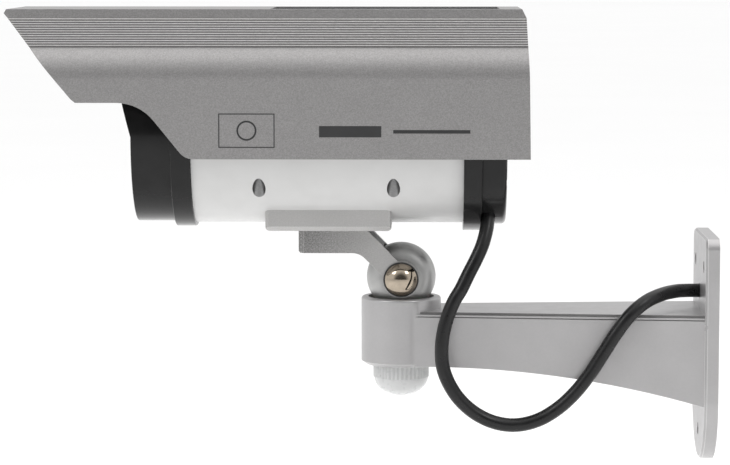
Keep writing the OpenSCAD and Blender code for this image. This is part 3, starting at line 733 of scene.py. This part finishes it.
def slot_cutter(place, axis, across, length, width, depth):
    """A slot's shape, narrower at its floor, sunk into a face at place that looks along axis."""
    other = axis.cross(across)
    bm = bmesh.new()
    corners = [(-1, -1), (1, -1), (1, 1), (-1, 1)]
    levels = ((-depth, 0.45), (0.5 * MM, 1.1))    # height along the axis, share of the full size
    rings = []
    for height, share in levels:
        rings.append([bm.verts.new(place + axis * height + across * (i * length / 2 * share)
                                   + other * (j * width / 2 * share)) for i, j in corners])
    bm.faces.new(rings[0])
    bm.faces.new(rings[1])
    for k in range(4):
        bm.faces.new((rings[0][k], rings[0][(k + 1) % 4], rings[1][(k + 1) % 4], rings[1][k]))
    bmesh.ops.recalc_face_normals(bm, faces=bm.faces)
    return from_bmesh("cutter", bm)


CAP_SCREW = {"head_r": 2.65 * MM, "head_h": 1.4 * MM, "shank_r": 1.25 * MM, "shank_l": 10.6 * MM}
VISOR_SCREW = {"head_r": 2.05 * MM, "head_h": 1.6 * MM, "shank_r": 1.45 * MM, "shank_l": 22.3 * MM}


def cross_screw(name, place, axis, turn, head_r, head_h, shank_r, shank_l):
    """A screw with a domed cross-slot head that stands on place and looks along axis."""
    rim = 0.45 * head_h
    dome = [(head_r * math.cos(t), rim + (head_h - rim) * math.sin(t))
            for t in (math.radians(a) for a in range(0, 90, 9))]
    profile = [(0, -shank_l), (shank_r * 0.8, -shank_l), (shank_r, -shank_l + 0.3 * MM), (shank_r, 0),
               (head_r - 0.1 * MM, 0), (head_r, 0.1 * MM)] + dome + [(0, head_h)]
    screw = lathe(name, profile, place, axis, 40)
    side = Vector((axis.y, axis.z, axis.x))
    spin = Matrix.Rotation(turn, 3, axis)
    for across in (spin @ side, spin @ axis.cross(side)):
        cutter = slot_cutter(place + axis * head_h, axis, across,
                             length=head_r * 1.25, width=head_r * 0.36, depth=head_h * 0.8)
        carve(screw, cutter)
    return screw


def join(name, pieces):
    bm = bmesh.new()
    for piece in pieces:
        bm.from_mesh(piece.data)
        bpy.data.objects.remove(piece)
    return from_bmesh(name, bm)


def make_screws(chance):
    head_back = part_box("cap_screws")[1].x
    ring = 28.2 * MM
    seat = Vector((head_back - CAP_SCREW["head_h"], 0, BARREL_Z))
    rear = []
    for i in range(3):
        angle = math.radians(90 + 120 * i)
        place = seat + ring * Vector((0, math.cos(angle), math.sin(angle)))
        rear.append(cross_screw(f"screw_{i}", place, AXIS_X, chance.uniform(0, math.pi), **CAP_SCREW))
    screws = join("cap_screws_turned", rear)
    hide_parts("cap_screws")
    add(screws, "head", "zinc_steel")

    seat_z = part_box("visor_screws")[0].z + VISOR_SCREW["head_h"]
    under = []
    for x in VISOR_SCREW_X:
        for y in (-VISOR_SCREW_Y, VISOR_SCREW_Y):
            under.append(cross_screw(f"screw_{len(under)}", Vector((x, y, seat_z)), -UP,
                                     chance.uniform(0, math.pi), **VISOR_SCREW))
    screws = join("visor_screws_turned", under)
    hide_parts("visor_screws")
    add(screws, "head", "zinc_steel")


def led_places():
    """Where each lamp stands on the lamp board, by part.scad's two rings."""
    rings = ((21.4 * MM, 18, 0), (14.4 * MM, 12, 270))
    places = [(r, math.radians(first + 360 * i / count)) for r, count, first in rings for i in range(count)]
    return [(r * math.cos(angle), r * math.sin(angle)) for r, angle in places]


def make_lamp_cups():
    """The metal cup of each lamp."""
    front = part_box("led_board")[0].x - 0.5 * MM
    parts = []
    for y, z in led_places():
        place = Vector((front, y, BARREL_Z + z))
        cup = [(0, 0.25 * MM), (0.45 * MM, 0.25 * MM), (0.9 * MM, 0.75 * MM), (1.0 * MM, 0.75 * MM),
               (1.0 * MM, 0), (0, 0)]
        parts.append(lathe("cup", cup, place, -AXIS_X, 16))
    cups = join("lamp_cups", parts)
    add(cups, "head", "contact_metal")


def strip_box(bm, low, high):
    bmesh.ops.create_cube(bm, size=1, matrix=Matrix.Translation((low + high) / 2)
                          @ Matrix.Diagonal((*(high - low), 1)))


def make_busbars():
    """Two thin tapes along the row of cells, and a short one across each end."""
    low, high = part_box("solar_cells")
    top = high.z + 0.005 * MM
    thick = 0.03 * MM
    half = 0.5 * MM
    cross = 0.8 * MM
    bm = bmesh.new()
    for y in (-9 * MM, 9 * MM):
        strip_box(bm, Vector((low.x - cross, y - half, top)), Vector((high.x + cross, y + half, top + thick)))
    for x in (low.x - 1.2 * MM, high.x + 0.4 * MM):
        strip_box(bm, Vector((x, -10 * MM, top)), Vector((x + cross, 10 * MM, top + thick)))
    add(from_bmesh("cell_tapes", bm), "head", "contact_metal")


make_ball()
make_screws(random.Random(4))
make_lamp_cups()
make_busbars()


# Neutral print on the near side of the visor

PRINT_Y = -37.5 * MM
PRINT_T = 0.05 * MM


def print_ring(bm, outer, inner):
    """A flat band between two outlines of the same number of points, given in X and Z."""
    rings = []
    face_y = PRINT_Y - PRINT_T
    for outline, y in ((outer, PRINT_Y), (inner, PRINT_Y), (inner, face_y), (outer, face_y)):
        rings.append([bm.verts.new((x, y, z)) for x, z in outline])
    count = len(outer)
    for a, b in zip(rings, rings[1:] + rings[:1]):
        for k in range(count):
            bm.faces.new((a[k], a[(k + 1) % count], b[(k + 1) % count], b[k]))


def rectangle(x0, x1, z0, z1):
    return [(x0, z0), (x1, z0), (x1, z1), (x0, z1)]


def make_print():
    bm = bmesh.new()
    line = 0.35 * MM
    x0, x1, z0, z1 = -171 * MM, -152 * MM, 72 * MM, 83.6 * MM
    print_ring(bm, rectangle(x0, x1, z0, z1), rectangle(x0 + line, x1 - line, z0 + line, z1 - line))
    cx, cz = (x0 + x1) / 2, (z0 + z1) / 2
    print_ring(bm, *[arc(cx, cz, radius, 0, 350, 35) for radius in (3.4 * MM, 2.8 * MM)])
    bars = ((-137 * MM, -116 * MM, 75.6 * MM, 79.4 * MM), (-112 * MM, -86 * MM, 76.9 * MM, 78.1 * MM))
    for a, b, low, high in bars:
        strip_box(bm, Vector((a, PRINT_Y - PRINT_T, low)), Vector((b, PRINT_Y, high)))
    bmesh.ops.recalc_face_normals(bm, faces=bm.faces)
    marks = from_bmesh("plain_marks", bm)
    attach(marks, "head")
    marks.data.materials.append(FINISHES["print_black"])


make_print()


# Floor and lights

FLOOR_REACH = 45    # far enough that the main view, which looks almost level, doesn't see past its end
WORLD_RAMPS = [
    # socket, way along Y, where the ramp starts and ends, and the light at its start and its end
    (0, -1, 0.6, 0.93, 1.05, 0.12),
    (1, 1, 0.75, 0.98, 1.02, 0.7),
]


def make_floor():
    bm = bmesh.new()
    bmesh.ops.create_grid(bm, x_segments=8, y_segments=8, size=FLOOR_REACH)
    floor = from_bmesh("floor", bm)
    floor.location = (-0.12, 0, -0.16)
    f = Finish("floor_paper", (0.99, 0.99, 0.99), 0.9, specular_ior_level=0.1)
    f.join(f.shade(f.spread(f.noise(0.4, 2), 0, 1), f.colour, 0.99, 1.0), "Base Color")
    floor.data.materials.append(f.material)


def make_world():
    """Even studio light, much dimmer from straight in front, where the room is, and a little from behind."""
    world = bpy.data.worlds.new("studio")
    bpy.context.scene.world = world
    world.use_nodes = True
    nodes = world.node_tree.nodes
    links = world.node_tree.links
    place = nodes.new("ShaderNodeTexCoord")
    product = nodes.new("ShaderNodeMath")
    product.operation = "MULTIPLY"
    for socket, way, start, end, first, last in WORLD_RAMPS:
        facing = nodes.new("ShaderNodeVectorMath")
        facing.operation = "DOT_PRODUCT"
        facing.inputs[1].default_value = (0, way, 0)
        links.new(place.outputs["Generated"], facing.inputs[0])
        ramp = nodes.new("ShaderNodeMapRange")
        ramp.interpolation_type = "SMOOTHSTEP"
        for key, value in {"From Min": start, "From Max": end, "To Min": first, "To Max": last}.items():
            ramp.inputs[key].default_value = value
        links.new(facing.outputs["Value"], ramp.inputs["Value"])
        links.new(ramp.outputs["Result"], product.inputs[socket])
    nodes["Background"].inputs["Color"].default_value = (1, 1, 1, 1)
    links.new(product.outputs["Value"], nodes["Background"].inputs["Strength"])


def softbox(name, place, target, width, height, power, colour=(1, 1, 1)):
    data = bpy.data.lights.new(name, "AREA")
    data.shape = "RECTANGLE"
    data.size = width
    data.size_y = height
    data.energy = power
    data.color = colour
    light = new_object(name, data)
    light.location = place
    light.rotation_euler = (Vector(target) - Vector(place)).to_track_quat("-Z", "Y").to_euler()


make_floor()
make_world()
MIDDLE = (-0.12, 0, 0.06)
softbox("overhead", (-0.12, 0.1, 1.2), MIDDLE, width=1.7, height=1.5, power=8, colour=(1, 0.985, 0.97))
softbox("left", (-0.85, -0.55, 0.75), MIDDLE, width=0.4, height=0.4, power=2.2)
softbox("right", (0.5, -0.62, 0.78), MIDDLE, width=0.35, height=0.35, power=1.8)
bpy.context.scene.view_settings.view_transform = "Standard"

for piece, slot in piece_slots.items():
    piece.data.materials.append(FINISHES[slot])
for piece, finish, faces in repainted:
    piece.data.materials.append(FINISHES[finish])
    for i in faces:
        piece.data.polygons[i].material_index = len(piece.data.materials) - 1
